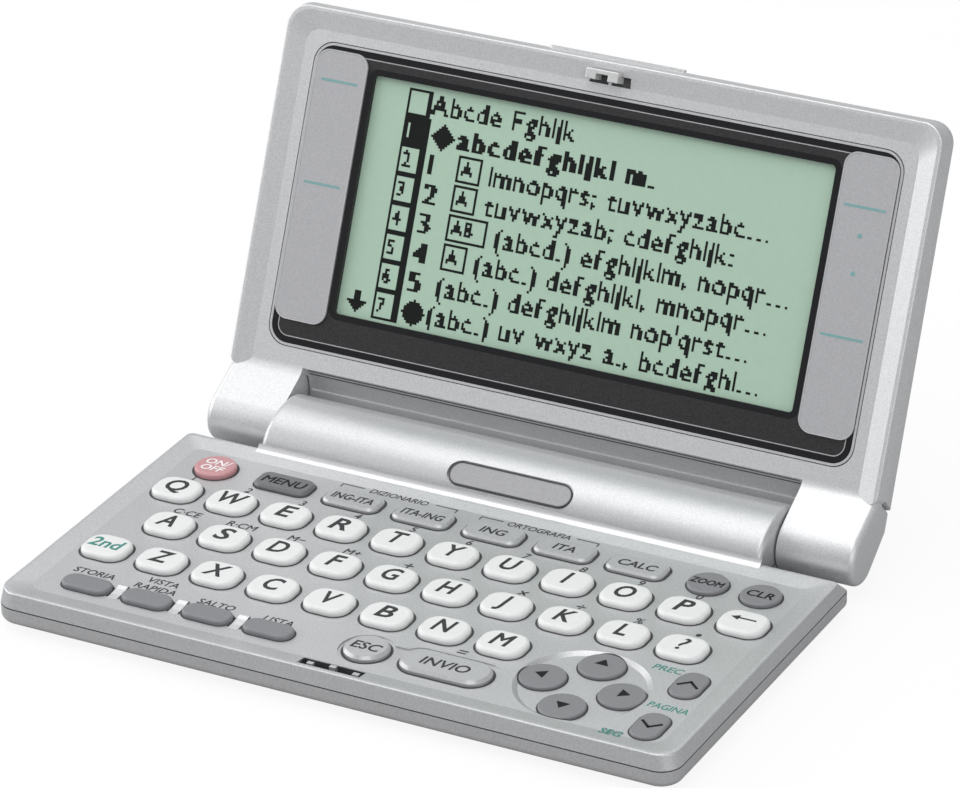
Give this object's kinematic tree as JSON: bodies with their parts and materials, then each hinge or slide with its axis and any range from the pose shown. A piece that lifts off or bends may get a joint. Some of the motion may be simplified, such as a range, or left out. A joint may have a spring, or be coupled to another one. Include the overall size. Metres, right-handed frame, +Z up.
{
  "type": "electronic dictionary",
  "caption": "Handheld electronic dictionary, a clamshell with a hinged display lid, a rounded-key keyboard, an arrow pad and a cell barrel along the hinge.",
  "frame": {"origin": "centre of the bounding box in plan, at the undersides of the rubber feet, with the lid open as at rest", "axes": "+X along the hinge to the right of the person who types, +Y from the front edge to the hinge, +Z up"},
  "size_m": [0.131, 0.1136, 0.0767],
  "materials": {
    "silver": "satin metallic paint",
    "silver_dark": "satin silver plastic",
    "key_white": "satin",
    "key_silver": "satin",
    "key_grey": "satin",
    "key_dark": "satin",
    "key_red": "satin",
    "black_panel": "polished",
    "plate_grey": "satin",
    "display": "polished",
    "cell_can": "satin",
    "plated": "plated",
    "steel": "satin",
    "sheet_rubber": "matt",
    "foot_rubber": "matt",
    "board": "satin"
  },
  "bodies": {
    "case": {"deck_cover": "silver", "bottom_case": "silver_dark", "battery_cells": "cell_can", "battery_contacts": "plated", "hinge_pins": "steel", "key_sheet": "sheet_rubber", "circuit_board": "board", "rubber_feet": "foot_rubber", "case_screws": "steel"},
    "battery_door": {"battery_cover": "silver_dark"},
    "lid": {"lid_frame": "silver", "lid_cover": "silver", "screen_panel": "black_panel", "side_plates": "plate_grey", "display_glass": "display"},
    "catch": {"latch_catch": "plate_grey"},
    "key_a_body": {"key_a": "key_white"},
    "key_b_body": {"key_b": "key_white"},
    "key_backspace_body": {"key_backspace": "key_white"},
    "key_c_body": {"key_c": "key_white"},
    "key_calculator_body": {"key_calculator": "key_silver"},
    "key_clear_body": {"key_clear": "key_dark"},
    "key_d_body": {"key_d": "key_white"},
    "key_down_body": {"key_down": "key_grey"},
    "key_e_body": {"key_e": "key_white"},
    "key_enter_body": {"key_enter": "key_silver"},
    "key_escape_body": {"key_escape": "key_silver"},
    "key_f_body": {"key_f": "key_white"},
    "key_g_body": {"key_g": "key_white"},
    "key_h_body": {"key_h": "key_white"},
    "key_i_body": {"key_i": "key_white"},
    "key_j_body": {"key_j": "key_white"},
    "key_k_body": {"key_k": "key_white"},
    "key_l_body": {"key_l": "key_white"},
    "key_left_body": {"key_left": "key_grey"},
    "key_m_body": {"key_m": "key_white"},
    "key_menu_body": {"key_menu": "key_dark"},
    "key_n_body": {"key_n": "key_white"},
    "key_o_body": {"key_o": "key_white"},
    "key_p_body": {"key_p": "key_white"},
    "key_page_down_body": {"key_page_down": "key_grey"},
    "key_page_up_body": {"key_page_up": "key_grey"},
    "key_power_body": {"key_power": "key_red"},
    "key_q_body": {"key_q": "key_white"},
    "key_question_body": {"key_question": "key_white"},
    "key_r_body": {"key_r": "key_white"},
    "key_right_body": {"key_right": "key_grey"},
    "key_s_body": {"key_s": "key_white"},
    "key_second_body": {"key_second": "key_white"},
    "key_t_body": {"key_t": "key_white"},
    "key_u_body": {"key_u": "key_white"},
    "key_up_body": {"key_up": "key_grey"},
    "key_v_body": {"key_v": "key_white"},
    "key_w_body": {"key_w": "key_white"},
    "key_x_body": {"key_x": "key_white"},
    "key_y_body": {"key_y": "key_white"},
    "key_z_body": {"key_z": "key_white"},
    "key_zoom_body": {"key_zoom": "key_dark"},
    "language_keys_body": {"language_keys": "key_silver"},
    "soft_keys_body": {"soft_keys": "key_grey"}
  },
  "joints": [
    {"name": "lid_hinge", "type": "hinge", "parent": "case", "child": "lid", "pos_m": [0, 0.0203, 0.007], "axis": [1, 0, 0], "range_deg": [-16.2, 113.8]},
    {"name": "battery_door_slide", "type": "slide", "parent": "case", "child": "battery_door", "axis": [0, 1, 0], "range_m": [0, 0.006]},
    {"name": "latch_slide", "type": "slide", "parent": "lid", "child": "catch", "axis": [1, 0, 0], "range_m": [0, 0.0009], "stiffness_N_per_m": 150, "springref_m": -0.001},
    {"name": "key_a_press", "type": "slide", "parent": "case", "child": "key_a_body", "axis": [0, 0, -1], "range_m": [0, 0.0005], "stiffness_N_per_m": 200, "springref_m": -0.001},
    {"name": "key_b_press", "type": "slide", "parent": "case", "child": "key_b_body", "axis": [0, 0, -1], "range_m": [0, 0.0005], "stiffness_N_per_m": 200, "springref_m": -0.001},
    {"name": "key_backspace_press", "type": "slide", "parent": "case", "child": "key_backspace_body", "axis": [0, 0, -1], "range_m": [0, 0.0005], "stiffness_N_per_m": 200, "springref_m": -0.001},
    {"name": "key_c_press", "type": "slide", "parent": "case", "child": "key_c_body", "axis": [0, 0, -1], "range_m": [0, 0.0005], "stiffness_N_per_m": 200, "springref_m": -0.001},
    {"name": "key_calculator_press", "type": "slide", "parent": "case", "child": "key_calculator_body", "axis": [0, 0, -1], "range_m": [0, 0.0005], "stiffness_N_per_m": 200, "springref_m": -0.001},
    {"name": "key_clear_press", "type": "slide", "parent": "case", "child": "key_clear_body", "axis": [0, 0, -1], "range_m": [0, 0.0005], "stiffness_N_per_m": 200, "springref_m": -0.001},
    {"name": "key_d_press", "type": "slide", "parent": "case", "child": "key_d_body", "axis": [0, 0, -1], "range_m": [0, 0.0005], "stiffness_N_per_m": 200, "springref_m": -0.001},
    {"name": "key_down_press", "type": "slide", "parent": "case", "child": "key_down_body", "axis": [0, 0, -1], "range_m": [0, 0.0005], "stiffness_N_per_m": 200, "springref_m": -0.001},
    {"name": "key_e_press", "type": "slide", "parent": "case", "child": "key_e_body", "axis": [0, 0, -1], "range_m": [0, 0.0005], "stiffness_N_per_m": 200, "springref_m": -0.001},
    {"name": "key_enter_press", "type": "slide", "parent": "case", "child": "key_enter_body", "axis": [0, 0, -1], "range_m": [0, 0.0005], "stiffness_N_per_m": 200, "springref_m": -0.001},
    {"name": "key_escape_press", "type": "slide", "parent": "case", "child": "key_escape_body", "axis": [0, 0, -1], "range_m": [0, 0.0005], "stiffness_N_per_m": 200, "springref_m": -0.001},
    {"name": "key_f_press", "type": "slide", "parent": "case", "child": "key_f_body", "axis": [0, 0, -1], "range_m": [0, 0.0005], "stiffness_N_per_m": 200, "springref_m": -0.001},
    {"name": "key_g_press", "type": "slide", "parent": "case", "child": "key_g_body", "axis": [0, 0, -1], "range_m": [0, 0.0005], "stiffness_N_per_m": 200, "springref_m": -0.001},
    {"name": "key_h_press", "type": "slide", "parent": "case", "child": "key_h_body", "axis": [0, 0, -1], "range_m": [0, 0.0005], "stiffness_N_per_m": 200, "springref_m": -0.001},
    {"name": "key_i_press", "type": "slide", "parent": "case", "child": "key_i_body", "axis": [0, 0, -1], "range_m": [0, 0.0005], "stiffness_N_per_m": 200, "springref_m": -0.001},
    {"name": "key_j_press", "type": "slide", "parent": "case", "child": "key_j_body", "axis": [0, 0, -1], "range_m": [0, 0.0005], "stiffness_N_per_m": 200, "springref_m": -0.001},
    {"name": "key_k_press", "type": "slide", "parent": "case", "child": "key_k_body", "axis": [0, 0, -1], "range_m": [0, 0.0005], "stiffness_N_per_m": 200, "springref_m": -0.001},
    {"name": "key_l_press", "type": "slide", "parent": "case", "child": "key_l_body", "axis": [0, 0, -1], "range_m": [0, 0.0005], "stiffness_N_per_m": 200, "springref_m": -0.001},
    {"name": "key_left_press", "type": "slide", "parent": "case", "child": "key_left_body", "axis": [0, 0, -1], "range_m": [0, 0.0005], "stiffness_N_per_m": 200, "springref_m": -0.001},
    {"name": "key_m_press", "type": "slide", "parent": "case", "child": "key_m_body", "axis": [0, 0, -1], "range_m": [0, 0.0005], "stiffness_N_per_m": 200, "springref_m": -0.001},
    {"name": "key_menu_press", "type": "slide", "parent": "case", "child": "key_menu_body", "axis": [0, 0, -1], "range_m": [0, 0.0005], "stiffness_N_per_m": 200, "springref_m": -0.001},
    {"name": "key_n_press", "type": "slide", "parent": "case", "child": "key_n_body", "axis": [0, 0, -1], "range_m": [0, 0.0005], "stiffness_N_per_m": 200, "springref_m": -0.001},
    {"name": "key_o_press", "type": "slide", "parent": "case", "child": "key_o_body", "axis": [0, 0, -1], "range_m": [0, 0.0005], "stiffness_N_per_m": 200, "springref_m": -0.001},
    {"name": "key_p_press", "type": "slide", "parent": "case", "child": "key_p_body", "axis": [0, 0, -1], "range_m": [0, 0.0005], "stiffness_N_per_m": 200, "springref_m": -0.001},
    {"name": "key_page_down_press", "type": "slide", "parent": "case", "child": "key_page_down_body", "axis": [0, 0, -1], "range_m": [0, 0.0005], "stiffness_N_per_m": 200, "springref_m": -0.001},
    {"name": "key_page_up_press", "type": "slide", "parent": "case", "child": "key_page_up_body", "axis": [0, 0, -1], "range_m": [0, 0.0005], "stiffness_N_per_m": 200, "springref_m": -0.001},
    {"name": "key_power_press", "type": "slide", "parent": "case", "child": "key_power_body", "axis": [0, 0, -1], "range_m": [0, 0.0005], "stiffness_N_per_m": 200, "springref_m": -0.001},
    {"name": "key_q_press", "type": "slide", "parent": "case", "child": "key_q_body", "axis": [0, 0, -1], "range_m": [0, 0.0005], "stiffness_N_per_m": 200, "springref_m": -0.001},
    {"name": "key_question_press", "type": "slide", "parent": "case", "child": "key_question_body", "axis": [0, 0, -1], "range_m": [0, 0.0005], "stiffness_N_per_m": 200, "springref_m": -0.001},
    {"name": "key_r_press", "type": "slide", "parent": "case", "child": "key_r_body", "axis": [0, 0, -1], "range_m": [0, 0.0005], "stiffness_N_per_m": 200, "springref_m": -0.001},
    {"name": "key_right_press", "type": "slide", "parent": "case", "child": "key_right_body", "axis": [0, 0, -1], "range_m": [0, 0.0005], "stiffness_N_per_m": 200, "springref_m": -0.001},
    {"name": "key_s_press", "type": "slide", "parent": "case", "child": "key_s_body", "axis": [0, 0, -1], "range_m": [0, 0.0005], "stiffness_N_per_m": 200, "springref_m": -0.001},
    {"name": "key_second_press", "type": "slide", "parent": "case", "child": "key_second_body", "axis": [0, 0, -1], "range_m": [0, 0.0005], "stiffness_N_per_m": 200, "springref_m": -0.001},
    {"name": "key_t_press", "type": "slide", "parent": "case", "child": "key_t_body", "axis": [0, 0, -1], "range_m": [0, 0.0005], "stiffness_N_per_m": 200, "springref_m": -0.001},
    {"name": "key_u_press", "type": "slide", "parent": "case", "child": "key_u_body", "axis": [0, 0, -1], "range_m": [0, 0.0005], "stiffness_N_per_m": 200, "springref_m": -0.001},
    {"name": "key_up_press", "type": "slide", "parent": "case", "child": "key_up_body", "axis": [0, 0, -1], "range_m": [0, 0.0005], "stiffness_N_per_m": 200, "springref_m": -0.001},
    {"name": "key_v_press", "type": "slide", "parent": "case", "child": "key_v_body", "axis": [0, 0, -1], "range_m": [0, 0.0005], "stiffness_N_per_m": 200, "springref_m": -0.001},
    {"name": "key_w_press", "type": "slide", "parent": "case", "child": "key_w_body", "axis": [0, 0, -1], "range_m": [0, 0.0005], "stiffness_N_per_m": 200, "springref_m": -0.001},
    {"name": "key_x_press", "type": "slide", "parent": "case", "child": "key_x_body", "axis": [0, 0, -1], "range_m": [0, 0.0005], "stiffness_N_per_m": 200, "springref_m": -0.001},
    {"name": "key_y_press", "type": "slide", "parent": "case", "child": "key_y_body", "axis": [0, 0, -1], "range_m": [0, 0.0005], "stiffness_N_per_m": 200, "springref_m": -0.001},
    {"name": "key_z_press", "type": "slide", "parent": "case", "child": "key_z_body", "axis": [0, 0, -1], "range_m": [0, 0.0005], "stiffness_N_per_m": 200, "springref_m": -0.001},
    {"name": "key_zoom_press", "type": "slide", "parent": "case", "child": "key_zoom_body", "axis": [0, 0, -1], "range_m": [0, 0.0005], "stiffness_N_per_m": 200, "springref_m": -0.001},
    {"name": "language_keys_press", "type": "slide", "parent": "case", "child": "language_keys_body", "axis": [0, 0, -1], "range_m": [0, 0.0005], "stiffness_N_per_m": 200, "springref_m": -0.001},
    {"name": "soft_keys_press", "type": "slide", "parent": "case", "child": "soft_keys_body", "axis": [0, 0, -1], "range_m": [0, 0.0005], "stiffness_N_per_m": 200, "springref_m": -0.001}
  ]
}
